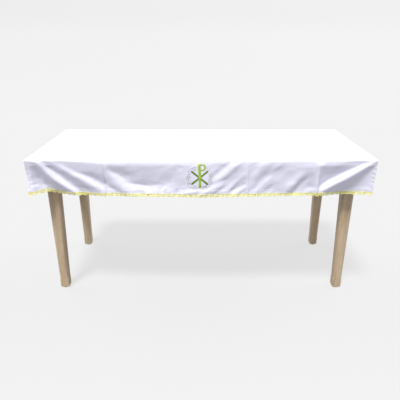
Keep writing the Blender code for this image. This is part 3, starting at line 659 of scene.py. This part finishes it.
def make_lace():
    """Openwork lace: a scalloped ground with eyelets and picots, and raised cords."""
    ground, cords = Gathered(), Gathered()
    draw = np.random.default_rng(7)
    for index, drop in enumerate(DROPS):
        count = round(2 * drop.half / MOTIF_PITCH)
        half_pitch = drop.half / count
        header_s = np.linspace(-drop.half, drop.half, count * 8 + 1)
        header_t = np.array([0, LACE_HEADER / 2, LACE_HEADER]) + LACE_TOP
        s, t = np.meshgrid(header_s, header_t)
        ids = np.arange(s.size).reshape(s.shape)
        faces = quads(ids[:-1, :-1], ids[1:, :-1], ids[1:, 1:], ids[:-1, 1:])
        ground.take(conform(index, s, t, LACE_LIFT), faces)
        for rail in (0.0005, 0.0040):
            cords.cords(index, header_s, np.full_like(header_s, LACE_TOP + rail), LACE_LIFT + 0.0005, 0.0006)
        zig_s = np.linspace(-drop.half, drop.half, count * 10 + 1)
        zig_t = LACE_TOP + 0.00225 + 0.0013 * np.where(np.arange(len(zig_s)) % 2, 1, -1)
        cords.cords(index, zig_s, zig_t, LACE_LIFT + 0.0004, 0.0004)

        middles = -drop.half + half_pitch * (2 * np.arange(count) + 1)
        u, v = np.meshgrid(np.linspace(-1, 1, MOTIF_COLUMNS), np.array([0, 0.16, 0.5, 0.66, 0.84, 1.0]))
        ids = np.arange(count * u.size).reshape(count, *u.shape)
        cells = np.stack([ids[:, :-1, :-1], ids[:, 1:, :-1], ids[:, 1:, 1:], ids[:, :-1, 1:]], axis=-1)
        solid = np.ones(cells.shape[1:3], bool)
        solid[EYELET_ROWS, 1:-1:2] = False
        slack, swell = draw.uniform(-0.02, 0.02, (count, 1, 1)), draw.uniform(-0.5, 1, (count, 1, 1))
        s, t = lace_place(middles[:, None, None], half_pitch, u, v * (1 + slack))
        picots = np.where(v > 0.95, PICOT_HEIGHT * np.cos(np.pi * PICOTS * (u + 1)), 0)
        lift = LACE_LIFT + 0.0006 * np.sin(np.pi * v) * swell
        ground.take(conform(index, s, t + picots, lift), cells[:, solid].reshape(-1, 4).tolist())
        arc = np.linspace(-1, 1, 15)
        for level, radius, bead in ARCS:
            s, t = lace_place(middles[:, None], half_pitch, arc, level)
            beads = 1 + bead * np.where(np.arange(len(arc)) % 2, 1, -1)
            cords.cords(index, s, t, LACE_LIFT + 0.0005, radius * beads)
        reach = np.array([0.02, 0.3, 0.6, 0.95])
        for spoke in SPOKES:
            s, t = lace_place(middles[:, None], half_pitch, np.full_like(reach, spoke), reach)
            cords.cords(index, s, t, LACE_LIFT + 0.0005, SPOKE_RADIUS)
    sheet = ground.object("lace_ground", outward=False)
    thicken(sheet, GROUND_THICKNESS, 0)
    return sheet, cords.object("lace_cords")


STITCH_PITCH = 0.0036
STITCH_LENGTH = 0.0027
STITCH_RADIUS = 0.00022
STITCH_JITTER = 0.00012
# A stitch's points along its length, and their heights.
STITCH_POINTS = STITCH_LENGTH * np.array([-0.5, -0.25, 0.25, 0.5])
STITCH_LIFT = np.array([-0.0003, 0.0002, 0.0002, -0.0003])
SEAM_START = 0.016
SEAM_ALLOWANCE = 0.007


def make_stitching():
    """Machine stitches: a row along every hem, and one on each side of every corner seam."""
    stitches = Gathered()
    draw = np.random.default_rng(9)
    for index, drop in enumerate(DROPS):
        count = int(2 * drop.half / STITCH_PITCH)
        s = (-drop.half + STITCH_PITCH * (np.arange(count) + 0.5))[:, None] + STITCH_POINTS
        t = HEM_LINE + 0.0022 + STITCH_JITTER * draw.uniform(-1, 1, (count, 1)) + 0 * s
        stitches.cords(index, s, t, STITCH_LIFT, STITCH_RADIUS)
        count = int((HEM_LINE - SEAM_START) / STITCH_PITCH)
        t = (SEAM_START + STITCH_PITCH * (np.arange(count) + 0.5))[:, None] + STITCH_POINTS
        for end in (-1, 1):
            jitter = STITCH_JITTER * draw.uniform(-1, 1, (count, 1))
            s = end * (drop.half - SEAM_ALLOWANCE) + jitter + 0 * t
            stitches.cords(index, s, t, STITCH_LIFT, STITCH_RADIUS)
    return stitches.object("hem_stitching")


THREAD_PITCH = 0.0011
THREAD_RIDGE = 0.00024
RAGGED_EDGE = 0.00035
SMOOTHING_PASSES = 3
# A band's points across, in half-widths, and those of them that have a point under them.
BAND = np.array([-1, -0.92, -0.65, -0.33, 0, 0.33, 0.65, 0.92, 1])
BAND_UNDER = [6, 2]
BAND_EDGE, BAND_BOTTOM = -0.0003, -0.0006


def satin_stitch(gathered, path, half_width, crown, seed, base=None):
    """A band of threads laid side by side across a path of (x, z) points on the front drop."""
    path = np.asarray(path, float)
    far = np.concatenate([[0], np.cumsum(np.linalg.norm(np.diff(path, axis=0), axis=1))])
    rows = max(4, 2 * round(far[-1] / THREAD_PITCH))
    along = np.linspace(0, far[-1], rows + 1)
    x, z = np.interp(along, far, path[:, 0]), np.interp(along, far, path[:, 1])
    run_x, run_z = np.gradient(x), np.gradient(z)
    for _ in range(SMOOTHING_PASSES):
        for run in (run_x, run_z):
            run[1:-1] = (run[:-2] + 2 * run[1:-1] + run[2:]) / 4
    length = np.hypot(run_x, run_z)
    side_x, side_z = -run_z / length, run_x / length
    ragged = np.random.default_rng(seed).uniform(-RAGGED_EDGE, RAGGED_EDGE, (2, rows + 1))
    width = np.asarray([half_width(share) for share in along / far[-1]])
    reach = np.where(BAND < 0, (width + ragged[0])[:, None], (width + ragged[1])[:, None]) * BAND
    ridge = np.where(np.arange(rows + 1) % 2, 1, -1)[:, None] * THREAD_RIDGE
    dome = np.sqrt(np.maximum(0, 1 - (0.97 * BAND) ** 2))
    ends = np.sqrt(np.clip(np.minimum(along, far[-1] - along) / 0.0022, 0, 1))[:, None]
    lift = crown * dome * (0.35 + 0.65 * ends) + ridge * dome
    if base is not None:
        lift = lift + np.asarray([base(a, b) for a, b in zip(x, z)])[:, None]
    lift[:, [0, -1]] = BAND_EDGE
    s = x[:, None] + side_x[:, None] * reach
    t = TOP_LEVEL - (z[:, None] + side_z[:, None] * reach)
    top = conform(0, s, t, lift)
    under = conform(0, s[:, BAND_UNDER], t[:, BAND_UNDER], BAND_BOTTOM)
    gathered.loft(np.concatenate([top, under], axis=1)[None])


def arc_points(x, z, radius, start, end, many=24):
    """Points along an arc between two angles in degrees."""
    turn = np.radians(np.linspace(start, end, many))
    return [(x + radius * math.cos(a), z + radius * math.sin(a)) for a in turn]


def round_end(share, end):
    """A width that narrows to a round end over a share of the length."""
    near = min(1, min(share, 1 - share) / end)
    return math.sqrt(max(0.12, 1 - (1 - near) ** 2))


def swelling(width, tip, power=1):
    """A width that swells between two narrow tips."""
    return lambda share: width * math.sin(math.pi * (tip + (1 - 2 * tip) * share)) ** power


chi_low, chi_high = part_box("emblem_chi")
rho_low, rho_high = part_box("emblem_rho")
MIDDLE_X, MIDDLE_Z = (chi_low.x + chi_high.x) / 2, (chi_low.z + chi_high.z) / 2
ARM_X = (chi_high.x - chi_low.x) / 2 - 0.0015
ARM_Z = (chi_high.z - chi_low.z) / 2 - 0.0010
CHI_STROKE = 0.0058
RHO_STROKE = 0.0072
RHO_FLARE = 0.0012
BOWL_STROKE = 0.0048
BOWL_RADIUS = 0.0156
# The wreath's stems, in degrees from the right, anticlockwise, clear of the letters.
WREATH_STEMS = ((-30, 30), (112, 130), (150, 210), (230, 255), (285, 310))
STEM_RADII = (0.0560, 0.0665)
STEM_WIDTH = 0.0006
# A ring of leaves: (radius, how many, half-length, half-width, lean in degrees).
LEAF_RINGS = (
    (0.0515, 26, 0.0062, 0.0024, 62), (0.061, 30, 0.007, 0.0027, -58), (0.071, 36, 0.0056, 0.0022, 58),
)
KNOT_RADIUS = 0.0017
KNOT_OUT = 0.0045


def make_letters():
    """The chi, and the rho over it. A stroke rises over the one that it crosses."""

    def chi_width(share):
        return CHI_STROKE * (0.88 + 0.12 * abs(2 * share - 1)) * round_end(share, 0.045)

    def over_first_arm(x, _):
        return 0.0007 * math.exp(-(((x - MIDDLE_X) / 0.009) ** 2))

    def over_chi(_, z):
        return 0.0012 * math.exp(-(((z - MIDDLE_Z) / 0.011) ** 2))

    chi, rho = Gathered(), Gathered()
    for slant, seed, base in ((1, 71, None), (-1, 72, over_first_arm)):
        rise = slant * ARM_Z
        arm = [(MIDDLE_X - ARM_X, MIDDLE_Z - rise), (MIDDLE_X + ARM_X, MIDDLE_Z + rise)]
        satin_stitch(chi, arm, chi_width, 0.0012, seed, base)
    stem = [(MIDDLE_X + 0.0026, rho_low.z + 0.0038), (MIDDLE_X - 0.0022, rho_high.z - 0.0068)]
    satin_stitch(rho, stem, lambda share: RHO_STROKE + RHO_FLARE * (1 - share), 0.0014, 73, over_chi)
    bowl_x = rho_high.x - 0.0004 - BOWL_STROKE - BOWL_RADIUS
    bowl_z = rho_high.z - 0.0030 - BOWL_STROKE - BOWL_RADIUS
    bowl = [(MIDDLE_X - 0.010, bowl_z + BOWL_RADIUS)]
    bowl += arc_points(bowl_x, bowl_z, BOWL_RADIUS, 90, -90) + [(MIDDLE_X + 0.004, bowl_z - BOWL_RADIUS)]
    satin_stitch(rho, bowl, lambda share: BOWL_STROKE * round_end(share, 0.03), 0.0013, 74)
    return chi.object("emblem_chi_stitching"), rho.object("emblem_rho_stitching")


def make_wreath():
    """The white wreath's leaves, and its grey stems and knots."""
    wreath, knots = Gathered(), Gathered()
    draw = np.random.default_rng(75)
    for radius in STEM_RADII:
        for start, end in WREATH_STEMS:
            path = arc_points(MIDDLE_X, MIDDLE_Z, radius, start, end, 40)
            satin_stitch(knots, path, lambda share: STEM_WIDTH, 0.0007, 76)
    for radius, many, reach, width, lean in LEAF_RINGS:
        for leaf in range(many):
            turn = 2 * math.pi * (leaf + draw.uniform(-0.2, 0.2)) / many
            x, z = MIDDLE_X + radius * math.cos(turn), MIDDLE_Z + radius * math.sin(turn)
            on_stem = abs(x - MIDDLE_X) < 0.015
            on_bowl = MIDDLE_X < x < MIDDLE_X + 0.046 and z > rho_high.z - 0.048
            off_arm = abs(abs(x - MIDDLE_X) * ARM_Z - abs(z - MIDDLE_Z) * ARM_X) / math.hypot(ARM_X, ARM_Z)
            if on_stem or on_bowl or (off_arm < 0.0125 and radius < 0.066):
                continue
            heading = turn + math.radians(lean + draw.uniform(-12, 12))
            step_x, step_z = reach * math.cos(heading), reach * math.sin(heading)
            path = [(x - step_x, z - step_z), (x + step_x, z + step_z)]
            satin_stitch(wreath, path, swelling(width, 0.08, 0.8), 0.0017, 100 + leaf)
            dot = turn + math.pi / many
            out = radius + KNOT_OUT
            x, z = MIDDLE_X + out * math.cos(dot), MIDDLE_Z + out * math.sin(dot)
            path = [(x - KNOT_RADIUS, z), (x + KNOT_RADIUS, z)]
            satin_stitch(knots, path, swelling(KNOT_RADIUS, 0.15), 0.0016, 200 + leaf)
    return wreath.object("emblem_wreath"), knots.object("emblem_wreath_knots")


# ---- materials


class Nodes:
    """Short calls for building a node tree."""

    def __init__(self, name):
        self.material = bpy.data.materials.new(name)
        self.material.use_nodes = True
        self.tree = self.material.node_tree
        self.shader = self.tree.nodes["Principled BSDF"]

    def add(self, kind, inputs=None, **settings):
        node = self.tree.nodes.new(kind)
        for key, value in settings.items():
            setattr(node, key, value)
        for key, value in (inputs or {}).items():
            self.put(node.inputs[key], value)
        return node

    def put(self, socket, value):
        if isinstance(value, bpy.types.NodeSocket):
            self.tree.links.new(value, socket)
        else:
            socket.default_value = value

    def set(self, **values):
        for key, value in values.items():
            self.put(self.shader.inputs[key.replace("_", " ")], value)

    def place(self):
        """The place on the object."""
        return self.add("ShaderNodeTexCoord").outputs["Object"]

    def noise(self, place, scale, detail, **more):
        inputs = {"Vector": place, "Scale": scale, "Detail": detail, **more}
        return self.add("ShaderNodeTexNoise", inputs).outputs["Fac"]

    def between(self, value, low, high, top=1.0):
        """A value from 0 to the top, moved to between low and high."""
        inputs = {"Value": value, "From Max": top, "To Min": low, "To Max": high}
        return self.add("ShaderNodeMapRange", inputs).outputs["Result"]

    def multiplied(self, colour, layer):
        inputs = {"Factor": 1.0, 6: colour, 7: layer}
        return self.add("ShaderNodeMix", inputs, data_type="RGBA", blend_type="MULTIPLY").outputs[2]

    def ramp(self, factor, *stops):
        node = self.add("ShaderNodeValToRGB", {"Fac": factor})
        for element, (place, colour) in zip(node.color_ramp.elements, stops):
            element.position, element.color = place, (*colour, 1)
        return node.outputs["Color"]

    def bump(self, height, strength, distance, **more):
        inputs = {"Height": height, "Strength": strength, "Distance": distance, **more}
        return self.add("ShaderNodeBump", inputs).outputs["Normal"]


def cloth_material():
    """White satin-faced cloth: a fine twill, with a slight slub."""
    n = Nodes("white_cloth")
    uv = n.add("ShaderNodeUVMap", uv_map="flat").outputs["UV"]
    weave = {"Vector": uv, "Scale": 620.0, "Distortion": 0.5, "Detail": 1.0}
    wave = n.add("ShaderNodeTexWave", weave, wave_type="BANDS", bands_direction="DIAGONAL")
    twill = wave.outputs["Fac"]
    slub = n.noise(uv, 90.0, 3.0)
    cloud = n.noise(uv, 6.0, 2.0)
    colour = n.ramp(cloud, (0.3, (0.79, 0.785, 0.92)), (0.7, (0.81, 0.805, 0.935)))
    normal = n.bump(slub, 0.15, 0.0004, Normal=n.bump(twill, 0.25, 0.0002))
    n.set(Base_Color=colour, Roughness=0.55, Sheen_Weight=0.25, Sheen_Roughness=0.4, Normal=normal)
    n.set(Specular_IOR_Level=0.35)
    return n.material


def thread_material(name, dark, light, gloss, metal=0.0):
    """Embroidery or lace thread: fine twisted strands with small changes of shade."""
    n = Nodes(name)
    place = n.place()
    colour = n.ramp(n.noise(place, 420.0, 2.0), (0.15, dark), (0.85, light))
    normal = n.bump(n.noise(place, 900.0, 2.0), 0.25, 0.0002)
    n.set(Base_Color=colour, Roughness=gloss, Metallic=metal, Normal=normal, Sheen_Weight=0.15)
    return n.material


GRAIN_STRETCH = 0.07


def oak_material(axis, seed):
    """Limed oak: pale, with pores and growth bands along the grain, and darker end grain."""
    n = Nodes(f"limed_oak_{'xyz'[axis]}_{seed}")
    scale = tuple(GRAIN_STRETCH if way == axis else 1.0 for way in range(3))
    shift = tuple(np.random.default_rng(seed + 50).uniform(-3, 3, 3))
    inputs = {"Vector": n.place(), "Location": shift, "Scale": scale}
    grain = n.add("ShaderNodeMapping", inputs).outputs["Vector"]
    bands = n.noise(grain, 42.0, 4.0, Distortion=0.8)
    pores = n.noise(grain, 420.0, 2.0)
    tone = n.ramp(n.noise(grain, 9.0, 2.0), (0.3, (0.55, 0.42, 0.27)), (0.7, (0.66, 0.53, 0.37)))
    streak = n.ramp(bands, (0.35, (0.80, 0.77, 0.72)), (0.62, (1.0, 1.0, 1.0)))
    lime = n.ramp(pores, (0.34, (0.78, 0.76, 0.72)), (0.46, (1.0, 1.0, 1.0)))
    facing = n.add("ShaderNodeSeparateXYZ", {"Vector": n.add("ShaderNodeNewGeometry").outputs["True Normal"]})
    absolute = n.add("ShaderNodeMath", {0: facing.outputs[axis]}, operation="ABSOLUTE").outputs[0]
    end = n.ramp(absolute, (0.7, (1.0, 1.0, 1.0)), (0.95, (0.66, 0.60, 0.52)))
    colour = n.multiplied(n.multiplied(n.multiplied(tone, streak), lime), end)
    normal = n.bump(pores, 0.30, 0.0004, Normal=n.bump(bands, 0.15, 0.0006))
    n.set(Base_Color=colour, Roughness=n.between(bands, 0.62, 0.48), Normal=normal, Specular_IOR_Level=0.3)
    return n.material


def steel_material():
    """Zinc-plated steel: bright, with a faint cloudy patina."""
    n = Nodes("zinc_plated_steel")
    cloud = n.noise(n.place(), 220.0, 3.0)
    colour = n.ramp(cloud, (0.3, (0.55, 0.56, 0.58)), (0.7, (0.72, 0.73, 0.74)))
    n.set(Base_Color=colour, Metallic=1.0, Normal=n.bump(cloud, 0.1, 0.0002))
    n.set(Roughness=n.between(cloud, 0.25, 0.5))
    return n.material


def nylon_material():
    """Moulded grey nylon, slightly mottled and scuffed."""
    n = Nodes("moulded_nylon")
    place = n.place()
    grit = n.noise(place, 700.0, 3.0)
    scuff = n.noise(place, 60.0, 4.0)
    colour = n.ramp(scuff, (0.35, (0.05, 0.05, 0.052)), (0.7, (0.085, 0.083, 0.08)))
    n.set(Base_Color=colour, Roughness=n.between(scuff, 0.4, 0.62), Normal=n.bump(grit, 0.2, 0.0002))
    return n.material


CORNERS = ("front_left", "front_right", "back_left", "back_right")
# The parts by the axis that their grain runs along.
GRAIN = (
    (0, [*(f"top_board_{i}" for i in range(1, 6)), "apron_front", "apron_back"]),
    (1, [f"{kind}_{side}" for kind in ("breadboard", "apron") for side in ("left", "right")]
        + [f"bearer_{place}" for place in ("left", "centre", "right")]),
    (2, [f"leg_{corner}" for corner in CORNERS]),
    (0, [f"corner_brace_{corner}" for corner in CORNERS]),
    (1, [f"top_button_{i}" for i in range(1, 9)]),
)


def finish_frame_parts():
    """Materials for the parts of the base, whose shapes are the frame's own."""
    steel, nylon = steel_material(), nylon_material()
    oak = {(axis, seed): oak_material(axis, seed) for axis in range(3) for seed in range(3)}
    finishes = {name: oak[axis, i % 3] for axis, names in GRAIN for i, name in enumerate(names)}
    for corner in CORNERS:
        finishes[f"foot_{corner}"] = nylon
        finishes[f"foot_insert_{corner}"] = steel
    for i in range(1, 9):
        finishes[f"brace_screw_{i}"] = finishes[f"button_screw_{i}"] = steel
    for name, finish in finishes.items():
        part = bpy.data.objects[name]
        for slot in part.material_slots:
            slot.material = finish
        if not part.material_slots:
            part.data.materials.append(finish)


# ---- stage


# A light: (name, strength, softness in degrees, degrees off overhead, degrees round from the front).
LIGHTS = (
    ("overhead_key", 3.95, 12, 22, -26), ("fill_left", 0.9, 40, 55, -122), ("fill_right", 1.1, 40, 55, 118),
)
FLOOR_RADIUS = 6.0
COVE_RADIUS = 2.0
WALL_TOP = 9.0
# The paper's glow at the floor, up the wall, and the height where the second starts.
PAPER_GLOW = (0.680, 0.772, 1.6)
SKY_COLOUR = (0.99, 0.98, 1.02, 1)
SKY_STRENGTH = 0.45
# The camera's place: right of the middle, before the front and over the top.
CAMERA_PLACE = (-0.005, 2.21, 0.65)
CAMERA_DOWN = 22
CAMERA_LENS, SENSOR_WIDTH = 36.6, 36.0


def make_stage():
    """A pale floor that curves up into a wall all round, soft lights, and the camera."""
    profile = [(0.02, 0.0), (FLOOR_RADIUS, 0.0)]
    for turn in np.linspace(0.08, math.pi / 2, 18):
        out, up = COVE_RADIUS * math.sin(turn), COVE_RADIUS - COVE_RADIUS * math.cos(turn)
        profile.append((FLOOR_RADIUS + out, up))
    profile.append((FLOOR_RADIUS + COVE_RADIUS, WALL_TOP))
    turns, count = 96, len(profile)
    points = [
        (radius * math.cos(2 * math.pi * i / turns), radius * math.sin(2 * math.pi * i / turns), z)
        for i in range(turns)
        for radius, z in profile
    ]
    ids = np.arange(turns * count).reshape(turns, count)
    after = np.roll(ids, -1, axis=0)
    faces = quads(ids[:, :-1], ids[:, 1:], after[:, 1:], after[:, :-1])
    faces.append([i * count for i in range(turns)])
    mesh = new_mesh("studio_floor", points, faces)
    floor = new_object("studio_floor", mesh)
    n = Nodes("studio_paper")
    place = n.add("ShaderNodeSeparateXYZ", {"Vector": n.add("ShaderNodeNewGeometry").outputs["Position"]})
    n.set(Base_Color=(0.11, 0.11, 0.11, 1), Roughness=1.0, Specular_IOR_Level=0.0)
    n.set(Emission_Color=(1, 1, 1, 1), Emission_Strength=n.between(place.outputs["Z"], *PAPER_GLOW))
    mesh.materials.append(n.material)
    floor.visible_diffuse = floor.visible_shadow = False

    world = bpy.data.worlds.new("soft_fill")
    bpy.context.scene.world = world
    world.use_nodes = True
    sky = world.node_tree.nodes["Background"].inputs
    sky["Color"].default_value = SKY_COLOUR
    sky["Strength"].default_value = SKY_STRENGTH

    for name, energy, softness, tilt, turn in LIGHTS:
        sun = bpy.data.lights.new(name, "SUN")
        sun.energy, sun.angle = energy, math.radians(softness)
        light = new_object(name, sun)
        light.rotation_euler = (math.radians(tilt), 0, math.radians(turn))

    camera_data = bpy.data.cameras.new("camera")
    camera_data.lens, camera_data.sensor_width = CAMERA_LENS, SENSOR_WIDTH
    camera = new_object("camera", camera_data)
    right, before, over = CAMERA_PLACE
    camera.location = (right, -HALF_DEPTH - before, TOP_LEVEL + over)
    camera.rotation_euler = (math.radians(90 - CAMERA_DOWN), 0, 0)
    bpy.context.scene.camera = camera
    bpy.context.scene.view_settings.view_transform = "Standard"


# ---- build

make_stage()
finish_frame_parts()
cloth = make_cloth()
lace_ground, lace_cords = make_lace()
stitching = make_stitching()
chi, rho = make_letters()
wreath, knots = make_wreath()
gold = thread_material("gold_lace_thread", (0.84, 0.78, 0.20), (1.0, 1.0, 0.50), 0.42, 0.06)
white = thread_material("white_thread", (0.68, 0.67, 0.76), (0.97, 0.97, 1.0), 0.30)
silver = thread_material("silver_thread", (0.26, 0.25, 0.25), (0.50, 0.49, 0.50), 0.30)
dark_green = thread_material("dark_green_thread", (0.10, 0.165, 0.008), (0.19, 0.29, 0.02), 0.32)
light_green = thread_material("light_green_thread", (0.32, 0.48, 0.03), (0.50, 0.68, 0.09), 0.32)
PIECES = (
    (cloth, cloth_material(), "white_cloth"),
    (lace_ground, gold, "gold_lace"),
    (lace_cords, gold, "gold_lace"),
    (chi, dark_green, "dark_green_thread"),
    (rho, light_green, "light_green_thread"),
    (wreath, white, "white_thread"),
    (knots, silver, "white_thread"),
    (stitching, white, "white_thread"),
)
for piece, finish, slot in PIECES:
    piece.data.materials.append(finish)
    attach(piece, "cloth")
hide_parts("altar_cloth")
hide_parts("lace_trim")
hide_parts("lace_trim")
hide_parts("emblem_chi")
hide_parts("emblem_rho")
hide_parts("emblem_halo")
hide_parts("emblem_halo")
